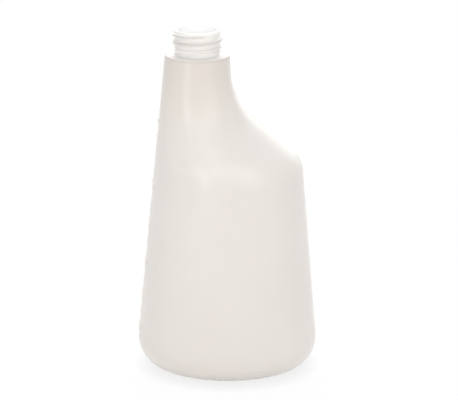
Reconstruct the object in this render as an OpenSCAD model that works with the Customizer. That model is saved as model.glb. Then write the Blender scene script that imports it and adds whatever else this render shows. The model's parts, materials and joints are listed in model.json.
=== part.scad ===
// Empty 24 fl oz (710 ml) spray bottle, blown in one piece, with an offset 28 mm threaded neck.
// The origin is at the centre of the base, on the floor. +Z is up and +X is the swooped front.

/* [Body] */
// Width at the floor, front to back, before the base is rounded
body_w = 105; // [95:1:120]
// Depth at the floor, side to side, before the base is rounded
body_d = 84; // [76:1:96]
// Thickness of the blown wall
wall = 0.9; // [0.7:0.1:1.5]
// How far the straight back leans in between the floor and the ledge
back_lean = 17.5; // [12:0.1:20]
// How far the front leans in between the floor and the shoulder
front_lean = 11.5; // [8:0.5:14]
// How far each side leans in between the floor and the shoulder
side_lean = 5; // [3:0.5:8]
// Rounding between the base and the walls
base_corner_r = 19; // [12:0.5:22]

/* [Shoulder and swoop] */
// Height where the lines of the front and of the swoop meet
shoulder_z = 124.5; // [116:0.5:130]
// Rounding of the front shoulder
shoulder_r = 18.5; // [10:0.5:22]
// Height where the lines of the swoop and of the collar meet
swoop_z = 155.8; // [150:0.2:160]
// Rounding at the foot of the collar, where a finger lies under a trigger
swoop_r = 39; // [25:0.5:42]
// How far the front of the collar leans out between the ledge and the swoop
collar_front_lean = 1.1; // [0:0.1:2]
// Height where the lines of the side and of the flare meet
flare_z = 123.5; // [120:0.5:132]
// Height of the flare between the sides and the collar
flare_h = 29; // [24:0.5:32]
// Rounding of the side shoulder
flare_r = 28; // [18:1:32]
// Rounding between the flare and the collar
flare_foot_r = 38; // [25:1:42]
// How far each side of the collar leans out between the ledge and the flare
collar_side_lean = 0.8; // [0:0.1:1.5]

/* [Base] */
// Width of the flat ring that the bottle stands on
stand_w = 1.5; // [1:0.5:3]
// Height of the hollow under the base
push_up = 4; // [2:0.5:5]
// Distance over which the hollow under the base rises
push_run = 12; // [8:0.5:14]
// Thickness of the base
base_wall = 1.4; // [1:0.1:2]

/* [Collar and neck] */
// Height of the ledge round the neck
ledge_z = 183; // [178:0.5:188]
// Diameter of the collar under the ledge
collar_d = 35.4; // [34:0.2:40]
// Rounding of the edge of the ledge
ledge_edge_r = 0.5; // [0.3:0.1:1.4]
// Thickness of the ledge
ledge_wall = 1.6; // [1.2:0.1:2.2]
// Height of the neck above the ledge
neck_h = 13.8; // [12:0.2:18]
// Diameter of the neck at the root of its thread
neck_d = 25; // [24:0.1:26]
// Diameter of the mouth
bore_d = 21.5; // [20:0.1:22]
// Slope between the neck and the ledge
neck_root = 0.8; // [0.4:0.1:1.2]
// Rounding of the rim
rim_r = 0.6; // [0.3:0.1:0.8]

/* [Thread] */
// Diameter over the crest of the thread
crest_d = 27.3; // [26.6:0.1:28]
// Rise of the thread in one turn
pitch = 4.23; // [3.6:0.01:4.6]
// Height of the thread's lower end above the ledge
thread_start = 2.32; // [2:0.01:3]
// Height of the rim above the thread's upper end
rim_gap = 1.3; // [1.2:0.1:2]
// Direction of the thread's lower end, anticlockwise from the front
thread_from = 170; // [0:5:355]
// Width of the thread at its root
thread_root_w = 2.4; // [2:0.1:2.8]
// Width of the thread at its crest
thread_crest_w = 0.8; // [0.5:0.1:1.4]
// Share of a turn over which each end of the thread runs out
run_out = 0.12; // [0.05:0.01:0.2]

/* [Scale] */
// Volume between two long marks of the scale, in millilitres
mark_step = 118.3; // [90:0.1:125]
// Number of long marks
mark_count = 6; // [3:1:6]
// Number of short marks, one after each long mark
short_count = 4; // [0:1:4]
// Width of a long mark across the back
mark_w = 16; // [10:1:20]
// Width of a short mark across the back
short_w = 9; // [6:1:12]
// Height of each mark
mark_t = 1.4; // [1:0.1:2]
// How far a long mark stands proud
mark_proud = 0.8; // [0.5:0.1:1.2]
// How far a short mark stands proud
short_proud = 0.35; // [0.2:0.05:0.6]
// Height of the fill line
fill_z = 146; // [142:0.5:152]

/* [Hidden] */
natural = [0.93, 0.91, 0.88];
outer_sides = 56;
inner_sides = 40;
push_steps = 4;
corner_steps = 8;
side_steps = 4;
curve_steps = 12;
upper_steps = 20;
edge_steps = 3;
fill_steps = 60;
thread_steps = 40;
mark_steps = 5;
round_sides = 96;
rim_step = 30;
// Depth to which solids run into each other where they join
overlap = 2;
// Depth of the foot of the thread inside the neck, and height of its run-out ends above that foot
thread_foot = 0.5;
thread_end = 0.3;
// Share of the thread's width that its run-out ends keep
end_share = 0.4;
// Share of a mark's height that each of its sloped edges takes
mark_edge_share = 0.25;
mm3_per_ml = 1000;
neck_x = back_lean + collar_d / 2 - body_w / 2;
shoulder_x = body_w / 2 - front_lean;
collar_front_x = neck_x + collar_d / 2;
thread_turns = (neck_h - rim_gap - thread_start) / pitch;

// Outline helpers

function unit(v) = v / norm(v);
function polar(r, angle) = r * [cos(angle), sin(angle)];
function wrapped(angle) = angle - 360 * floor((angle + 180) / 360);

// Arc of radius r that rounds the corner b between the lines to a and to c
function corner_arc(a, b, c, r) =
    let (
        u = unit(a - b),
        v = unit(c - b),
        half = acos(u * v) / 2,
        centre = b + unit(u + v) * r / sin(half),
        first = b + u * r / tan(half) - centre,
        last = b + v * r / tan(half) - centre,
        from = atan2(first.y, first.x),
        turn = wrapped(atan2(last.y, last.x) - from)
    )
    [for (i = [0:curve_steps]) centre + polar(r, from + turn * i / curve_steps)];

// Side outline through a, b, c and d, with b and c rounded, as a table of half widths by height
function outline(a, b, c, d, r_b, r_c) =
    [for (p = concat([a], corner_arc(a, b, c, r_b), corner_arc(b, c, d, r_c), [d])) [p.y, p.x]];

front_outline = outline(
    [body_w / 2, 0],
    [shoulder_x, shoulder_z],
    [collar_front_x + collar_front_lean, swoop_z],
    [collar_front_x, ledge_z],
    shoulder_r,
    swoop_r
);
side_outline = outline(
    [body_d / 2, 0],
    [body_d / 2 - side_lean, flare_z],
    [collar_d / 2 + collar_side_lean, flare_z + flare_h],
    [collar_d / 2, ledge_z],
    flare_r,
    flare_foot_r
);

function front_x(z) = lookup(z, front_outline);
function back_x(z) = -body_w / 2 + back_lean * z / ledge_z;
function middle_x(z) = (front_x(z) + back_x(z)) / 2;
function half_w(z) = (front_x(z) - back_x(z)) / 2;
function half_d(z) = lookup(z, side_outline);

// Point on the oval section at height z, moved in by inset
function skin(z, angle, inset) =
    [middle_x(z) + (half_w(z) - inset) * cos(angle), (half_d(z) - inset) * sin(angle), z];
function ring(z, inset, sides) = [for (i = [0:sides - 1]) skin(z, 360 * i / sides, inset)];

// Heights and insets of the rings, from the middle of the base to the ledge

function base_levels(up) = [
    for (i = [0:push_steps])
        let (s = i / push_steps)
        [up + push_up * (1 + cos(180 * s)) / 2, base_corner_r + stand_w + push_run * (1 - s)]
];
function corner_levels(t, up) = [
    for (i = [0:corner_steps])
        let (angle = 90 * i / corner_steps)
        [
            base_corner_r - (base_corner_r - up) * cos(angle),
            base_corner_r - (base_corner_r - t) * sin(angle)
        ]
];
// Height where the walls start to curve in, at the first point of the lower of the two shoulder arcs
wall_top = min(front_outline[1][0], side_outline[1][0]);
function side_levels(t) = [
    for (i = [1:side_steps - 1]) [base_corner_r + (wall_top - base_corner_r) * i / side_steps, t]
];
function upper_levels(t, top) = [
    for (i = [0:upper_steps]) [wall_top + (top - wall_top) * i / upper_steps, t]
];
edge_levels = [
    for (i = [1:edge_steps])
        let (angle = 90 * i / edge_steps)
        [ledge_z - ledge_edge_r * (1 - sin(angle)), ledge_edge_r * (1 - cos(angle))]
];

// Closed solid through a row of loops that all have the same number of points
module sweep(loops) {
    sides = len(loops[0]);
    last = len(loops) - 1;
    walls = [
        for (k = [0:last - 1], i = [0:sides - 1])
            let (a = k * sides + i, b = k * sides + (i + 1) % sides)
            each [[a, a + sides, b], [b, a + sides, b + sides]]
    ];
    first_cap = [for (i = [0:sides - 1]) i];
    last_cap = [for (i = [sides - 1:-1:0]) last * sides + i];
    polyhedron(points = [for (loop = loops) each loop], faces = concat([first_cap], walls, [last_cap]));
}

// Closed oval form through rings at the given heights and insets
module loft(levels, sides) {
    sweep([for (level = levels) ring(level[0], level[1], sides)]);
}

module outer_form() {
    loft(
        concat(
            base_levels(0),
            corner_levels(0, 0),
            side_levels(0),
            upper_levels(0, ledge_z - ledge_edge_r),
            edge_levels
        ),
        outer_sides
    );
}

module cavity() {
    loft(
        concat(
            base_levels(base_wall),
            corner_levels(wall, base_wall),
            side_levels(wall),
            upper_levels(wall, ledge_z - ledge_wall)
        ),
        inner_sides
    );
}

module neck() {
    r = neck_d / 2;
    top = ledge_z + neck_h;
    translate([neck_x, 0, 0])
        rotate_extrude($fn = round_sides)
            polygon(concat(
                [
                    [0, ledge_z - overlap],
                    [r + neck_root + overlap, ledge_z - overlap],
                    [r, ledge_z + neck_root]
                ],
                [for (angle = [0:rim_step:90]) [r - rim_r, top - rim_r] + polar(rim_r, angle)],
                [[0, top]]
            ));
}

module bore() {
    r = bore_d / 2;
    top = ledge_z + neck_h;
    translate([neck_x, 0, 0])
        rotate_extrude($fn = round_sides)
            polygon([
                [0, ledge_z - ledge_wall - overlap],
                [r, ledge_z - ledge_wall - overlap],
                [r, top - rim_r],
                [r + rim_r + overlap, top + overlap],
                [0, top + overlap]
            ]);
}

// Section of the thread, as radius and height. full is 1 for the whole section and 0 for a run-out end.
function thread_section(full) =
    let (
        foot = neck_d / 2 - thread_foot,
        low_crest = foot + thread_end,
        crest = low_crest + (crest_d / 2 - low_crest) * full,
        share = end_share + (1 - end_share) * full,
        root = thread_root_w / 2 * share,
        tip = thread_crest_w / 2 * share
    )
    [[foot, root], [crest, tip], [crest, -tip], [foot, -root]];

module thread() {
    count = ceil(thread_turns * thread_steps);
    sweep([
        for (k = [0:count])
            let (
                turn = thread_turns * k / count,
                full = min(1, turn / run_out, (thread_turns - turn) / run_out),
                angle = thread_from + 360 * turn,
                z = ledge_z + thread_start + pitch * turn
            )
            [
                for (p = thread_section(full))
                    [neck_x + p[0] * cos(angle), p[0] * sin(angle), z + p[1]]
            ]
    ]);
}

// Fill levels, found by adding up thin slices of the hollow from the base

slice_h = (ledge_z - base_wall) / fill_steps;
function corner_inset(z) = base_corner_r - sqrt(pow(base_corner_r, 2) - pow(base_corner_r - z, 2));
function inner_inset(z) = wall + (z < base_corner_r ? corner_inset(z) : 0);
function slice_ml(z) =
    PI * (half_w(z) - inner_inset(z)) * (half_d(z) - inner_inset(z)) * slice_h / mm3_per_ml;
// Table of heights by the volume below them, in millilitres
function fill_table(k = 0, ml = 0) =
    let (z = base_wall + slice_h * (k + 0.5))
    k == fill_steps ? [] : concat([[ml, z]], fill_table(k + 1, ml + slice_ml(z)));
fill_heights = fill_table();
function fill_level(ml) = lookup(ml, fill_heights);

// Raised bar that follows the curve of the back
module mark(z, width, proud) {
    reach = asin(width / 2 / half_d(z));
    low = z - mark_t / 2;
    high = z + mark_t / 2;
    edge = mark_t * mark_edge_share;
    sweep([
        for (k = [0:mark_steps])
            let (angle = 180 - reach + 2 * reach * k / mark_steps)
            [
                skin(high, angle, wall / 2),
                skin(high, angle, 0),
                skin(high - edge, angle, -proud),
                skin(low + edge, angle, -proud),
                skin(low, angle, 0),
                skin(low, angle, wall / 2)
            ]
    ]);
}

module scale_marks() {
    highest = fill_z - 2 * mark_t;
    for (n = [1:mark_count])
        if (fill_level(n * mark_step) < highest)
            mark(fill_level(n * mark_step), mark_w, mark_proud);
    for (n = [1:short_count])
        if (fill_level((n + 0.5) * mark_step) < highest)
            mark(fill_level((n + 0.5) * mark_step), short_w, short_proud);
    mark(fill_z, short_w, mark_proud);
}

module bottle() {
    color(natural)
        difference() {
            union() {
                outer_form();
                neck();
                thread();
                scale_marks();
            }
            cavity();
            bore();
        }
}

bottle();
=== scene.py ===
import json
import math

import bmesh
import bpy
import numpy as np
from mathutils import Matrix, Vector


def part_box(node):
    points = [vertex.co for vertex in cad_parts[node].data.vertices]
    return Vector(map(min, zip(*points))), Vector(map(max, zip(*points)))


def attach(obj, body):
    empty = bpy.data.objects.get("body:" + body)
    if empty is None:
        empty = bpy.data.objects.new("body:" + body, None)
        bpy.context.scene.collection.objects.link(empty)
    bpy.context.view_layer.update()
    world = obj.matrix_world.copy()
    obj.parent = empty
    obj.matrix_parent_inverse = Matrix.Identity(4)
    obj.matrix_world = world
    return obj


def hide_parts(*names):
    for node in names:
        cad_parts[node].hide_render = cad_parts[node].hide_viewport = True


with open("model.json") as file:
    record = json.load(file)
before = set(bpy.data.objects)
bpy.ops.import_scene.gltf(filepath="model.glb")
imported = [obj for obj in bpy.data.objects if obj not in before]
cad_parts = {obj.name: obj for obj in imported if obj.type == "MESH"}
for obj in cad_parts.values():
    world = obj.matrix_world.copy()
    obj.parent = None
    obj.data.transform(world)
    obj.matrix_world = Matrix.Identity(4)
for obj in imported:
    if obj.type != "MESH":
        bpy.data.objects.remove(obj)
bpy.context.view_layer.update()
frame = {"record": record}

# Empty 24 fl oz spray bottle, blown in one piece from natural polyethylene.
# Lengths are in metres. +Z is up, +X is the swooped front, and the origin is at the centre of the base.

MM = 0.001
ML = 1e-6

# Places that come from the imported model

MOUNTS = {mount["name"]: mount for mount in frame["record"]["mounts"]}
NECK_X = MOUNTS["mouth"]["pos_m"][0]
BORE_R = MOUNTS["mouth"]["dims"]["r_mm"] * MM
RIM_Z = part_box("bottle")[1].z

# Sizes of the wall

BODY_HALF_W = 52.5 * MM
BODY_HALF_D = 42 * MM
WALL = 0.9 * MM
BASE_WALL = 1.4 * MM
BASE_CORNER_R = 19 * MM
STAND_W = 1.5 * MM
PUSH_UP = 4 * MM
PUSH_RUN = 12 * MM
COLLAR_R = 17.7 * MM
NECK_H = 13.8 * MM
LEDGE_Z = RIM_Z - NECK_H
LEDGE_WALL = 1.6 * MM
LEDGE_EDGE_R = 0.5 * MM
THROAT_EDGE_R = 0.8 * MM
BACK_LEAN = NECK_X - COLLAR_R + BODY_HALF_W
# Corners of the outlines, each as distance from the Z axis, height and radius
SHOULDER = (BODY_HALF_W - 11.5 * MM, 124.5 * MM, 18.5 * MM)
SWOOP = (NECK_X + COLLAR_R + 1.1 * MM, 155.8 * MM, 39 * MM)
SIDE_SHOULDER = (BODY_HALF_D - 5 * MM, 123.5 * MM, 28 * MM)
FLARE_FOOT = (COLLAR_R + 0.8 * MM, 152.5 * MM, 38 * MM)
# Height and reach of the ridge where the mould pinched the base off
PINCH_H = 0.5 * MM
PINCH_W = 0.6 * MM

# Sizes of the neck and its thread

NECK_R = 12.5 * MM
NECK_ROOT = 0.8 * MM
RIM_R = 0.6 * MM
CREST_R = 13.65 * MM
PITCH = 4.23 * MM
THREAD_START = 2.4 * MM
RIM_GAP = 1.3 * MM
# Direction of the thread's lower end, in degrees anticlockwise from the front
THREAD_FROM = 170
THREAD_ROOT_W = 2.4 * MM
THREAD_CREST_W = 0.8 * MM
# Share of a turn over which each end of the thread runs out, and share of its width left there
RUN_OUT = 0.12
RUN_OUT_W = 0.4
THREAD_TURNS = (NECK_H - RIM_GAP - THREAD_START) / PITCH

# Numbers of rings and slices, and shares of the way across the flat parts

HOLLOW_SHARES = (0.01, 0.1, 0.3, 0.5, 0.7, 0.85)
HOLLOW_RINGS = 12
CORNER_RINGS = 20
SMALL_CORNER_RINGS = 6
LEDGE_SHARES = (0.25, 0.5, 0.75)
SIDE_RINGS = 20
SLOPE_RINGS = 60
NECK_RINGS = 100
BORE_RINGS = 8
INNER_SMALL_CORNER_RINGS = 5
INNER_SLOPE_RINGS = 26
INNER_SIDE_RINGS = 5
INNER_CORNER_RINGS = 9
INNER_HOLLOW_RINGS = 6
FILL_SLICES = 60

# Camera fitted to the photograph

FRAME_W = 458
FOCAL_PX = 1777
SENSOR_W = 36
CAMERA_TARGET = Vector((0.58 * MM, 0, 98.8 * MM))
CAMERA_DISTANCE = 1.0
CAMERA_ELEVATION = math.radians(18.07)
CAMERA_ROLL = math.radians(0.372)

# Light and floor

WORLD_LIGHT = 0.39
LAMP_TARGET = Vector((0, 0, 0.1))
# Name, place, width and height, and radiance of each soft lamp
LAMPS = [
    ("overhead", Vector((-0.1, 0.1, 1.5)), (1.4, 1.4), 1.25),
    ("front", Vector((0, -1.6, 1.1)), (1.4, 1.0), 1.6),
    ("front_right", Vector((0.75, -1.1, 0.55)), (0.45, 1.0), 2.1),
    ("strip", Vector((-0.25, -0.385, 0.19)), (0.07, 0.28), 5.0),
    ("back", Vector((0, 1, 1.3)), (1.4, 0.8), 2.6),
    ("sweep", Vector((0, 1.4, 0.45)), (2.6, 0.8), 0.8),
    ("back_right", Vector((0.55, 1.1, 0.65)), (0.9, 0.7), 0.4),
    ("right", Vector((1.4, 0, 0.6)), (0.8, 1.0), 0.5),
    ("left", Vector((-1.4, 0, 0.6)), (0.8, 1.0), 0.15),
]
FLOOR_HALF = 3
# How far the floor lies below the ring that the bottle stands on, so that they share no plane
FLOOR_DROP = 0.02 * MM
# The floor is seen mostly as plain white, which darkens a little within reach of the bottle as painted
# contact shadow
FLOOR_WHITE = 0.93
CONTACT_REACH = 9 * MM
PAINTED_CONTACT_SHADOW = 0.87
FLOOR_GREY = 0.9
FLOOR_ROUGHNESS = 0.9

# Plastic: scatter lengths, colours with painted shade and light, and the bands of height or radius over which
# they change

SCATTER = 1.2 * MM
NECK_SCATTER = 3 * MM
MOUTH_SCATTER = 25 * MM
CLOUD_DARK = (0.812, 0.766, 0.723, 1)
CLOUD_LIGHT = (0.827, 0.781, 0.740, 1)
# Painted shade that darkens the collar across COLLAR_BAND
PAINTED_COLLAR_SHADE = (0.925, 0.915, 0.90, 1)
COLLAR_BAND = (135 * MM, 178 * MM)
# Painted shade just under the edge of the ledge
PAINTED_LEDGE_EDGE_SHADE = (0.88, 0.88, 0.88, 1)
EDGE_START = (LEDGE_Z - 1.6 * MM, LEDGE_Z - 0.8 * MM)
# Painted shade on the top of the ledge
TOP_START = (LEDGE_Z - 0.2 * MM, LEDGE_Z - 0.02 * MM)
PAINTED_LEDGE_TOP_SHADE = (0.75, 0.72, 0.695, 1)
NECK_START = (LEDGE_Z - 0.2 * MM, LEDGE_Z)
NECK_SIDE = (13.7 * MM, 14.6 * MM)
LAND_TINT = (0.83, 0.805, 0.78, 1)
# Painted shade on the crests of the thread
PAINTED_CREST_SHADE = (0.63, 0.60, 0.58, 1)
CREST_BAND = (NECK_R + 0.1 * MM, CREST_R - 0.2 * MM)
# Painted light on the foot of the neck
PAINTED_NECK_FOOT_LIGHT = (0.90, 0.87, 0.845, 1)
ROOT_BAND = (LEDGE_Z + 1 * MM, LEDGE_Z + 7 * MM)
# Painted light inside the mouth
PAINTED_MOUTH_LIGHT = (0.995, 0.985, 0.955, 1)
LIP_BAND = (10.9 * MM, 11.4 * MM)
REFRACTION = 1.5
CLOUD_SCALE = 28
CLOUD_DETAIL = 4
CLOUD_SPAN = (0.3, 0.7)
ROUGHNESS = (0.27, 0.33)
PEEL_SCALE = 600
PEEL_DETAIL = 2
PEEL_STRENGTH = 0.05
PEEL_DEPTH = 0.1 * MM

# Sockets of the Mix node, which has a set for each kind of value

MIX_NUMBERS = (2, 3)
MIX_COLOURS = (6, 7)
MIX_NUMBER = 0
MIX_COLOUR = 2


# Outlines

def rounded_corner(before, corner, after, radius, steps=40):
    """Points of the arc that rounds a corner between the lines to the points before and after it."""
    before, corner, after = (np.array(p, float) for p in (before, corner, after))
    u = (before - corner) / np.linalg.norm(before - corner)
    v = (after - corner) / np.linalg.norm(after - corner)
    half = math.acos(u @ v) / 2
    centre = corner + (u + v) / np.linalg.norm(u + v) * radius / math.sin(half)
    first = corner + u * radius / math.tan(half) - centre
    last = corner + v * radius / math.tan(half) - centre
    start = math.atan2(first[1], first[0])
    turn = (math.atan2(last[1], last[0]) - start + math.pi) % (2 * math.pi) - math.pi
    angles = start + turn * np.linspace(0, 1, steps + 1)
    return centre + radius * np.stack([np.cos(angles), np.sin(angles)], axis=1)


def outline(foot, shoulder, collar, top):
    """Heights and distances from the Z axis through a foot, two corners and a top.

    Each corner is given as (distance, height, radius)."""
    points = np.vstack([
        [foot],
        rounded_corner(foot, shoulder[:2], collar[:2], shoulder[2]),
        rounded_corner(shoulder[:2], collar[:2], top, collar[2]),
        [top],
    ])
    return points[:, 1], points[:, 0]


FRONT = outline((BODY_HALF_W, 0), SHOULDER, SWOOP, (NECK_X + COLLAR_R, LEDGE_Z))
SIDE = outline((BODY_HALF_D, 0), SIDE_SHOULDER, FLARE_FOOT, (COLLAR_R, LEDGE_Z))
WALL_TOP = min(FRONT[0][1], SIDE[0][1])


def front_x(z):
    return float(np.interp(z, *FRONT))


def half_d(z):
    return float(np.interp(z, *SIDE))


def back_x(z):
    return -BODY_HALF_W + BACK_LEAN * z / LEDGE_Z


def oval(z, angles, inset):
    """Ring of points on the oval section at height z, moved in by an inset that may differ along the ring."""
    middle = (front_x(z) + back_x(z)) / 2
    half_w = (front_x(z) - back_x(z)) / 2
    x = middle + (half_w - inset) * np.cos(angles)
    y = (half_d(z) - inset) * np.sin(angles)
    return np.stack([x, y, np.full_like(x, z)], axis=1)


def circle(z, angles, radius):
    """Ring of points round the axis of the neck."""
    x = NECK_X + radius * np.cos(angles)
    y = radius * np.sin(angles)
    return np.stack([x, y, np.full_like(x, z)], axis=1)


def smooth(t):
    t = np.clip(t, 0, 1)
    return t * t * (3 - 2 * t)


# Raised scale on the back

MARK_T = 1.4 * MM
# Half width of each kind of mark, and how far it stands proud
LONG_MARK = (8 * MM, 0.8 * MM)
SHORT_MARK = (4.5 * MM, 0.35 * MM)
FILL_MARK = (4.5 * MM, 0.8 * MM)
FILL_Z = 146 * MM
MARK_EDGE = 0.35 * MM
# Distances of a mark's own rings from its middle, and the least distance of the other rings
MARK_RINGS = (0, 0.35 * MM, 0.55 * MM, 0.7 * MM, 0.88 * MM, 1.1 * MM)
MARK_CLEAR = 1.3 * MM
# Fine parting line, which fades out between SEAM_END_Z and the floor
SEAM_W = 0.25 * MM
SEAM_H = 0.1 * MM
SEAM_END_Z = 2 * MM


def fill_levels():
    """Heights by the volume of the hollow below them, in millilitres, added up from thin slices."""
    step = (LEDGE_Z - BASE_WALL) / FILL_SLICES
    table = []
    total = 0.0
    for k in range(FILL_SLICES):
        z = BASE_WALL + step * (k + 0.5)
        table.append((total, z))
        corner = BASE_CORNER_R - math.sqrt(BASE_CORNER_R ** 2 - max(BASE_CORNER_R - z, 0) ** 2)
        inset = WALL + corner
        half_w = (front_x(z) - back_x(z)) / 2
        total += math.pi * (half_w - inset) * (half_d(z) - inset) * step / ML
    return np.array(table)


FILL = fill_levels()
MARK_STEP_ML = 118.3


def fill_level(ml):
    return float(np.interp(ml, FILL[:, 0], FILL[:, 1]))


LONG_MARKS = 6
SHORT_MARKS = 4
LONG_HEIGHTS = [fill_level(n * MARK_STEP_ML) for n in range(1, LONG_MARKS + 1)]
SHORT_HEIGHTS = [fill_level((n + 0.5) * MARK_STEP_ML) for n in range(1, SHORT_MARKS + 1)]
MARKS = (
    [(z, *LONG_MARK) for z in LONG_HEIGHTS]
    + [(z, *SHORT_MARK) for z in SHORT_HEIGHTS]
    + [(FILL_Z, *FILL_MARK)]
)


def mark_relief(z, across):
    """How far the marks stand proud at height z, by the distance across the back."""
    relief = np.zeros_like(across)
    for mark_z, half_width, proud in MARKS:
        up = smooth((MARK_T / 2 + MARK_EDGE / 2 - abs(z - mark_z)) / MARK_EDGE)
        side = smooth((half_width - np.abs(across)) / MARK_EDGE)
        relief = np.maximum(relief, proud * up * side)
    return relief


def skin(z, angles, inset):
    """Outer ring of the body, with the marks on its back and the fine parting line front and back."""
    across = half_d(z) * np.sin(angles)
    behind = np.cos(angles) < 0
    relief = np.where(behind, mark_relief(z, across), 0)
    seam = SEAM_H * np.exp(-((across / SEAM_W) ** 2))
    if z < SEAM_END_Z:
        seam = seam * z / SEAM_END_Z
    return oval(z, angles, inset - np.maximum(relief, seam))


# Raised numerals beside the long marks

NUMERAL_SIZE = 7.5 * MM
NUMERAL_GAP = 2.6 * MM
NUMERAL_PROUD = 0.6 * MM
NUMERAL_SUNK = 0.2 * MM
NUMERAL_BOLD = 0.15 * MM
NUMERAL_BEVEL = 0.08 * MM
OUNCES_STEP = 4
WELD = 0.001 * MM


def on_back(across, z, out):
    """Point on the back at height z, at a distance to the right as seen from behind, moved out."""
    half_w = (front_x(z) - back_x(z)) / 2
    angle = math.pi + math.asin(across / half_d(z))
    normal = Vector((math.cos(angle) / half_w, math.sin(angle) / half_d(z), 0)).normalized()
    middle = (front_x(z) + back_x(z)) / 2
    return Vector((middle + half_w * math.cos(angle), half_d(z) * math.sin(angle), z)) + normal * out


def numeral(text, z):
    """Points and faces of a number bent onto the back at height z, left of the marks as seen from behind."""
    curve = bpy.data.curves.new("numeral", "FONT")
    curve.body = text
    curve.size = NUMERAL_SIZE
    curve.extrude = (NUMERAL_PROUD + NUMERAL_SUNK) / 2 - NUMERAL_BEVEL
    curve.bevel_depth = NUMERAL_BEVEL
    curve.offset = NUMERAL_BOLD
    curve.align_x = "RIGHT"
    curve.align_y = "CENTER"
    holder = bpy.data.objects.new("numeral", curve)
    flat = bpy.data.meshes.new_from_object(holder)
    lift = (NUMERAL_PROUD - NUMERAL_SUNK) / 2
    end = -LONG_MARK[0] - NUMERAL_GAP
    points = [on_back(end + v.co.x, z + v.co.y, lift + v.co.z) for v in flat.vertices]
    faces = [tuple(p.vertices) for p in flat.polygons]
    bpy.data.objects.remove(holder)
    bpy.data.curves.remove(curve)
    bpy.data.meshes.remove(flat)
    return points, faces


def make_numerals(material):
    """All the numbers as one welded piece that rides on the bottle."""
    points, faces = [], []
    for k, z in enumerate(LONG_HEIGHTS, 1):
        more_points, more_faces = numeral(str(k * OUNCES_STEP), z)
        faces += [tuple(i + len(points) for i in face) for face in more_faces]
        points += more_points
    mesh = bpy.data.meshes.new("scale_numerals")
    mesh.from_pydata(points, [], faces)
    mesh.validate()
    weld = bmesh.new()
    weld.from_mesh(mesh)
    bmesh.ops.remove_doubles(weld, verts=weld.verts, dist=WELD)
    bmesh.ops.recalc_face_normals(weld, faces=weld.faces)
    weld.to_mesh(mesh)
    weld.free()
    piece = bpy.data.objects.new("scale_numerals", mesh)
    bpy.context.scene.collection.objects.link(piece)
    mesh.materials.append(material)
    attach(piece, "root")
    return piece


# Neck

def thread_relief(z, angles):
    """How far the thread stands proud of the neck at height z."""
    relief = np.zeros_like(angles)
    start = (np.degrees(angles) - THREAD_FROM) % 360 / 360
    for k in range(math.ceil(THREAD_TURNS) + 1):
        turn = start + k
        full = np.clip(np.minimum(turn, THREAD_TURNS - turn) / RUN_OUT, 0, 1)
        away = np.abs(z - (LEDGE_Z + THREAD_START + PITCH * turn))
        share = RUN_OUT_W + (1 - RUN_OUT_W) * full
        root = THREAD_ROOT_W / 2 * share
        crest = THREAD_CREST_W / 2 * share
        height = (CREST_R - NECK_R) * smooth(full) * smooth((root - away) / (root - crest))
        relief = np.maximum(relief, height)
    return relief


def neck_ring(z, angles):
    """Ring of the neck, with its thread and the fillet at its root."""
    below = max(0.0, NECK_ROOT - (z - LEDGE_Z))
    fillet = NECK_ROOT - math.sqrt(NECK_ROOT ** 2 - below ** 2)
    return circle(z, angles, NECK_R + fillet + thread_relief(z, angles))


# The whole wall as one closed mesh

def column_angles():
    """Angles of the columns, dense behind, where the marks are, and at the front parting line."""
    fine = math.radians(0.6)
    coarse = math.radians(2)
    reach = math.radians(15)
    back = np.arange(-reach, reach + fine / 2, fine) + math.pi
    front = np.radians([-1.2, -0.7, -0.35, 0, 0.35, 0.7, 1.2])
    side_start = math.radians(2.5)
    left = np.arange(side_start, math.pi - reach - coarse / 2, coarse)
    return np.sort(np.concatenate([back, front % (2 * math.pi), left, 2 * math.pi - left]))


def side_heights():
    """Heights of the rings up the wall, with extra rings at the edges of each mark."""
    plain = np.concatenate([
        np.linspace(BASE_CORNER_R, WALL_TOP, SIDE_RINGS)[1:-1],
        np.linspace(WALL_TOP, LEDGE_Z - LEDGE_EDGE_R, SLOPE_RINGS),
    ])
    marked = [z + side * offset for z, _, _ in MARKS for offset in MARK_RINGS for side in (-1, 1)]
    clear = [z for z in plain if all(abs(z - mark_z) > MARK_CLEAR for mark_z, _, _ in MARKS)]
    return np.unique(np.round(np.concatenate([clear, marked]), decimals=7))


def pinched(ring, share=1):
    """Ring of the hollow under the base, with the line where the mould pinched it off along X."""
    ring[:, 2] -= PINCH_H * share * np.exp(-((ring[:, 1] / PINCH_W) ** 2))
    return ring


def base_point(s):
    """Height and inset on the rise of the outer base, where s goes from 0 at its inner end to 1."""
    z = PUSH_UP * (1 + math.cos(math.pi * s)) / 2
    return z, BASE_CORNER_R + STAND_W + PUSH_RUN * (1 - s)


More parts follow.
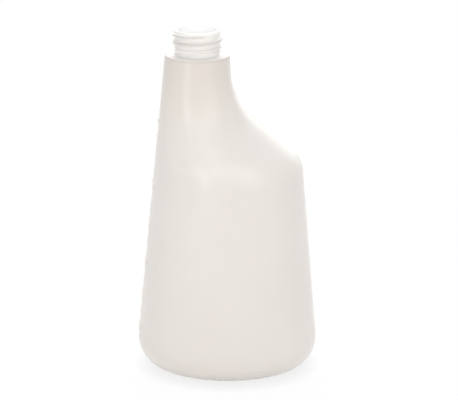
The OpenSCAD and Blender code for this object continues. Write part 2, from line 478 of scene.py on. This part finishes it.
def outer_rings(angles):
    """Rings from the middle of the base out, up the wall and the neck to the rim."""
    rings = []
    # Flat middle of the hollow under the base
    inner_inset = base_point(0)[1]
    for share in HOLLOW_SHARES:
        ring = oval(0, angles, inner_inset)
        ring[:, :2] *= share
        ring[:, 2] = PUSH_UP
        rings.append(pinched(ring))
    for s in np.linspace(0, 1, HOLLOW_RINGS):
        z, inset = base_point(s)
        ring = oval(0, angles, inset)
        ring[:, 2] = z
        rings.append(pinched(ring, (1 - s) * z / PUSH_UP))
    for angle in np.linspace(0, math.pi / 2, CORNER_RINGS):
        z = BASE_CORNER_R * (1 - math.cos(angle))
        rings.append(skin(z, angles, BASE_CORNER_R * (1 - math.sin(angle))))
    rings += [skin(z, angles, 0) for z in side_heights()]
    for angle in np.linspace(0, math.pi / 2, SMALL_CORNER_RINGS)[1:]:
        z = LEDGE_Z - LEDGE_EDGE_R * (1 - math.sin(angle))
        rings.append(oval(z, angles, LEDGE_EDGE_R * (1 - math.cos(angle))))
    edge = COLLAR_R - LEDGE_EDGE_R
    foot = NECK_R + NECK_ROOT
    for share in LEDGE_SHARES:
        rings.append(circle(LEDGE_Z, angles, edge + share * (foot - edge)))
    for z in np.linspace(LEDGE_Z, RIM_Z - RIM_R, NECK_RINGS):
        rings.append(neck_ring(z, angles))
    for angle in np.linspace(0, math.pi / 2, SMALL_CORNER_RINGS)[1:]:
        z = RIM_Z - RIM_R * (1 - math.sin(angle))
        rings.append(circle(z, angles, NECK_R - RIM_R * (1 - math.cos(angle))))
    return rings


def inner_rings(angles):
    """Rings from the rim down the bore and the inside of the wall to the middle of the base."""
    rings = []
    for angle in np.linspace(math.pi / 2, 0, INNER_SMALL_CORNER_RINGS):
        z = RIM_Z - RIM_R * (1 - math.sin(angle))
        rings.append(circle(z, angles, BORE_R + RIM_R * (1 - math.cos(angle))))
    top = LEDGE_Z - LEDGE_WALL
    for z in np.linspace(RIM_Z - RIM_R, top + THROAT_EDGE_R, BORE_RINGS)[1:]:
        rings.append(circle(z, angles, BORE_R))
    for angle in np.linspace(0, math.pi / 2, INNER_SMALL_CORNER_RINGS)[1:]:
        z = top + THROAT_EDGE_R * (1 - math.sin(angle))
        rings.append(circle(z, angles, BORE_R + THROAT_EDGE_R * (1 - math.cos(angle))))
    rings.append(oval(top, angles, WALL))
    for z in np.linspace(top, WALL_TOP, INNER_SLOPE_RINGS)[1:]:
        rings.append(oval(z, angles, WALL))
    for z in np.linspace(WALL_TOP, BASE_CORNER_R, INNER_SIDE_RINGS)[1:-1]:
        rings.append(oval(z, angles, WALL))
    for angle in np.linspace(math.pi / 2, 0, INNER_CORNER_RINGS):
        z = BASE_CORNER_R - (BASE_CORNER_R - BASE_WALL) * math.cos(angle)
        rings.append(oval(z, angles, BASE_CORNER_R - (BASE_CORNER_R - WALL) * math.sin(angle)))
    for s in np.linspace(1, 0, INNER_HOLLOW_RINGS):
        z, inset = base_point(s)
        ring = oval(0, angles, inset)
        ring[:, 2] = z + BASE_WALL
        rings.append(ring)
    return rings


def closed_mesh(name, rings):
    """Mesh through rings that all have the same number of points, closed by a fan at each end."""
    count = len(rings[0])
    points = [tuple(p) for ring in rings for p in ring]
    ends = [tuple(rings[0].mean(axis=0)), tuple(rings[-1].mean(axis=0))]
    faces = []
    for k in range(len(rings) - 1):
        for i in range(count):
            j = (i + 1) % count
            faces.append((k * count + i, k * count + j, (k + 1) * count + j, (k + 1) * count + i))
    first, last = len(points), len(points) + 1
    tail = (len(rings) - 1) * count
    for i in range(count):
        j = (i + 1) % count
        faces.append((first, j, i))
        faces.append((last, tail + i, tail + j))
    mesh = bpy.data.meshes.new(name)
    mesh.from_pydata(points + ends, [], faces)
    mesh.validate()
    mesh.shade_smooth()
    piece = bpy.data.objects.new(name, mesh)
    bpy.context.scene.collection.objects.link(piece)
    return piece


# Material

def rise(nodes, links, measure, band, low=0.0, high=1.0):
    """Value that goes smoothly from low to high as a height or radius crosses a band."""
    node = nodes.new("ShaderNodeMapRange")
    node.interpolation_type = "SMOOTHSTEP"
    node.inputs["From Min"].default_value = band[0]
    node.inputs["From Max"].default_value = band[1]
    node.inputs["To Min"].default_value = low
    node.inputs["To Max"].default_value = high
    links.new(measure, node.inputs["Value"])
    return node.outputs["Result"]


def product(nodes, links, a, b):
    node = nodes.new("ShaderNodeMath")
    node.operation = "MULTIPLY"
    links.new(a, node.inputs[0])
    links.new(b, node.inputs[1])
    return node.outputs[0]


def tinted(nodes, links, colour, factor, tint, blend_type="MIX"):
    """Colour mixed by a factor with a tint. Both are plain colours or outputs of other nodes."""
    node = nodes.new("ShaderNodeMix")
    node.data_type = "RGBA"
    node.blend_type = blend_type
    links.new(factor, node.inputs["Factor"])
    for source, socket in zip((colour, tint), MIX_COLOURS):
        if isinstance(source, tuple):
            node.inputs[socket].default_value = source
        else:
            links.new(source, node.inputs[socket])
    return node.outputs[MIX_COLOUR]


def polyethylene():
    """Milky translucent plastic with a soft gloss, faint clouding, a slight orange peel, and painted shade
    and light on the collar, ledge, neck and mouth.
    """
    material = bpy.data.materials.new("natural_polyethylene")
    material.use_nodes = True
    nodes = material.node_tree.nodes
    links = material.node_tree.links
    shader = nodes["Principled BSDF"]
    shader.inputs["IOR"].default_value = REFRACTION
    shader.inputs["Subsurface Weight"].default_value = 1
    shader.inputs["Subsurface Radius"].default_value = (1, 1, 1)
    place = nodes.new("ShaderNodeTexCoord").outputs["Object"]
    split = nodes.new("ShaderNodeSeparateXYZ")
    links.new(place, split.inputs[0])
    height = split.outputs["Z"]

    cloud = nodes.new("ShaderNodeTexNoise")
    cloud.inputs["Scale"].default_value = CLOUD_SCALE
    cloud.inputs["Detail"].default_value = CLOUD_DETAIL
    links.new(place, cloud.inputs["Vector"])

    tint = nodes.new("ShaderNodeValToRGB")
    for stop, position, colour in zip(tint.color_ramp.elements, CLOUD_SPAN, (CLOUD_DARK, CLOUD_LIGHT)):
        stop.position = position
        stop.color = colour
    links.new(cloud.outputs["Fac"], tint.inputs["Fac"])

    # Distance from the axis of the neck
    centred = nodes.new("ShaderNodeVectorMath")
    centred.operation = "MULTIPLY_ADD"
    centred.inputs[1].default_value = (1, 1, 0)
    centred.inputs[2].default_value = (-NECK_X, 0, 0)
    links.new(place, centred.inputs[0])
    length = nodes.new("ShaderNodeVectorMath")
    length.operation = "LENGTH"
    links.new(centred.outputs[0], length.inputs[0])
    radius = length.outputs["Value"]

    # Painted shade: the collar is a little darker, more so under the edge of the ledge and on its top
    collar = rise(nodes, links, height, COLLAR_BAND)
    colour = tinted(nodes, links, tint.outputs["Color"], collar, PAINTED_COLLAR_SHADE, "MULTIPLY")
    edge = rise(nodes, links, height, EDGE_START)
    colour = tinted(nodes, links, colour, edge, PAINTED_LEDGE_EDGE_SHADE, "MULTIPLY")
    top = rise(nodes, links, height, TOP_START)
    colour = tinted(nodes, links, colour, top, PAINTED_LEDGE_TOP_SHADE)

    # The neck lets more light through; painted shade makes it darkest at the crest of its thread, and painted
    # light makes it lighter towards its foot
    above = rise(nodes, links, height, NECK_START)
    neck = product(nodes, links, above, rise(nodes, links, radius, NECK_SIDE, 1, 0))
    crest = rise(nodes, links, radius, CREST_BAND)
    thread = tinted(nodes, links, LAND_TINT, crest, PAINTED_CREST_SHADE)
    thread = tinted(nodes, links, thread, rise(nodes, links, height, ROOT_BAND, 1, 0), PAINTED_NECK_FOOT_LIGHT)
    colour = tinted(nodes, links, colour, neck, thread)

    # The inside of the mouth is the clearest, and its near-white colour is painted light
    lip = product(nodes, links, above, rise(nodes, links, radius, LIP_BAND, 1, 0))
    colour = tinted(nodes, links, colour, lip, PAINTED_MOUTH_LIGHT)
    links.new(colour, shader.inputs["Base Color"])
    scatter = nodes.new("ShaderNodeMapRange")
    scatter.inputs["To Min"].default_value = SCATTER
    scatter.inputs["To Max"].default_value = NECK_SCATTER
    links.new(neck, scatter.inputs["Value"])
    clearer = nodes.new("ShaderNodeMix")
    links.new(lip, clearer.inputs["Factor"])
    links.new(scatter.outputs["Result"], clearer.inputs[MIX_NUMBERS[0]])
    clearer.inputs[MIX_NUMBERS[1]].default_value = MOUTH_SCATTER
    links.new(clearer.outputs[MIX_NUMBER], shader.inputs["Subsurface Scale"])

    gloss = nodes.new("ShaderNodeMapRange")
    gloss.inputs["To Min"].default_value = ROUGHNESS[0]
    gloss.inputs["To Max"].default_value = ROUGHNESS[1]
    links.new(cloud.outputs["Fac"], gloss.inputs["Value"])
    links.new(gloss.outputs["Result"], shader.inputs["Roughness"])

    peel = nodes.new("ShaderNodeTexNoise")
    peel.inputs["Scale"].default_value = PEEL_SCALE
    peel.inputs["Detail"].default_value = PEEL_DETAIL
    links.new(place, peel.inputs["Vector"])
    bump = nodes.new("ShaderNodeBump")
    bump.inputs["Strength"].default_value = PEEL_STRENGTH
    bump.inputs["Distance"].default_value = PEEL_DEPTH
    links.new(peel.outputs["Fac"], bump.inputs["Height"])
    links.new(bump.outputs["Normal"], shader.inputs["Normal"])
    return material


# Bottle

def make_bottle(material):
    angles = column_angles()
    piece = closed_mesh("blown_bottle", outer_rings(angles) + inner_rings(angles))
    piece.data.materials.append(material)
    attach(piece, "root")
    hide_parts("bottle")
    return piece


# Studio

def camera_rays(nodes, links):
    """Node that is 1 for camera, glossy and transmission rays."""
    path = nodes.new("ShaderNodeLightPath")
    add = nodes.new("ShaderNodeMath")
    add.operation = "ADD"
    more = nodes.new("ShaderNodeMath")
    more.operation = "ADD"
    more.use_clamp = True
    links.new(path.outputs["Is Camera Ray"], add.inputs[0])
    links.new(path.outputs["Is Glossy Ray"], add.inputs[1])
    links.new(add.outputs[0], more.inputs[0])
    links.new(path.outputs["Is Transmission Ray"], more.inputs[1])
    return more


def make_world():
    """Even light for the object, in front of a background that is seen as white."""
    world = bpy.data.worlds.new("studio")
    bpy.context.scene.world = world
    world.use_nodes = True
    nodes = world.node_tree.nodes
    links = world.node_tree.links
    nodes.clear()
    lit = nodes.new("ShaderNodeBackground")
    lit.inputs["Color"].default_value = (1, 1, 1, 1)
    lit.inputs["Strength"].default_value = WORLD_LIGHT
    seen = nodes.new("ShaderNodeBackground")
    seen.inputs["Color"].default_value = (1, 1, 1, 1)
    seen.inputs["Strength"].default_value = 1
    mix = nodes.new("ShaderNodeMixShader")
    out = nodes.new("ShaderNodeOutputWorld")
    links.new(camera_rays(nodes, links).outputs[0], mix.inputs["Fac"])
    links.new(lit.outputs[0], mix.inputs[1])
    links.new(seen.outputs[0], mix.inputs[2])
    links.new(mix.outputs[0], out.inputs["Surface"])


def make_floor():
    """White floor that keeps some of the object's real shadow, with painted contact shadow where they meet.
    """
    mesh = bpy.data.meshes.new("floor")
    corners = [(-1, -1), (1, -1), (1, 1), (-1, 1)]
    mesh.from_pydata([(x * FLOOR_HALF, y * FLOOR_HALF, 0) for x, y in corners], [], [(0, 1, 2, 3)])
    floor = bpy.data.objects.new("floor", mesh)
    floor.location.z = -FLOOR_DROP
    bpy.context.scene.collection.objects.link(floor)
    material = bpy.data.materials.new("white_floor")
    material.use_nodes = True
    nodes = material.node_tree.nodes
    links = material.node_tree.links
    shader = nodes["Principled BSDF"]
    shader.inputs["Base Color"].default_value = (FLOOR_GREY, FLOOR_GREY, FLOOR_GREY, 1)
    shader.inputs["Roughness"].default_value = FLOOR_ROUGHNESS
    shader.inputs["Specular IOR Level"].default_value = 0.0
    white = nodes.new("ShaderNodeEmission")
    white.inputs["Color"].default_value = (1, 1, 1, 1)
    # Painted contact shadow: the white darkens where the bottle occludes the floor
    contact = nodes.new("ShaderNodeAmbientOcclusion")
    contact.inputs["Distance"].default_value = CONTACT_REACH
    painted_shadow_strength = nodes.new("ShaderNodeMapRange")
    painted_shadow_strength.inputs["To Min"].default_value = PAINTED_CONTACT_SHADOW
    links.new(contact.outputs["AO"], painted_shadow_strength.inputs["Value"])
    links.new(painted_shadow_strength.outputs["Result"], white.inputs["Strength"])
    share = nodes.new("ShaderNodeMath")
    share.operation = "MULTIPLY"
    share.inputs[1].default_value = FLOOR_WHITE
    mix = nodes.new("ShaderNodeMixShader")
    links.new(camera_rays(nodes, links).outputs[0], share.inputs[0])
    links.new(share.outputs[0], mix.inputs["Fac"])
    links.new(shader.outputs[0], mix.inputs[1])
    links.new(white.outputs[0], mix.inputs[2])
    links.new(mix.outputs[0], nodes["Material Output"].inputs["Surface"])
    mesh.materials.append(material)


def make_lamps():
    for name, place, size, radiance in LAMPS:
        light = bpy.data.lights.new(name, "AREA")
        light.shape = "RECTANGLE"
        light.size, light.size_y = size
        light.energy = math.pi * size[0] * size[1] * radiance
        lamp = bpy.data.objects.new(name, light)
        bpy.context.scene.collection.objects.link(lamp)
        lamp.location = place
        lamp.rotation_mode = "QUATERNION"
        lamp.rotation_quaternion = (LAMP_TARGET - lamp.location).to_track_quat("-Z", "Y")
        lamp.visible_camera = False


def make_camera():
    data = bpy.data.cameras.new("camera")
    data.sensor_width = SENSOR_W
    data.lens = FOCAL_PX / FRAME_W * SENSOR_W
    camera = bpy.data.objects.new("camera", data)
    bpy.context.scene.collection.objects.link(camera)
    back = Vector((0, -math.cos(CAMERA_ELEVATION), math.sin(CAMERA_ELEVATION)))
    camera.location = CAMERA_TARGET + back * CAMERA_DISTANCE
    camera.rotation_mode = "QUATERNION"
    aim = (-back).to_track_quat("-Z", "Y")
    roll = Matrix.Rotation(CAMERA_ROLL, 4, "Z").to_quaternion()
    camera.rotation_quaternion = aim @ roll
    bpy.context.scene.camera = camera


plastic = polyethylene()
make_bottle(plastic)
make_numerals(plastic)
make_world()
make_floor()
make_lamps()
make_camera()
bpy.context.scene.view_settings.view_transform = "Standard"
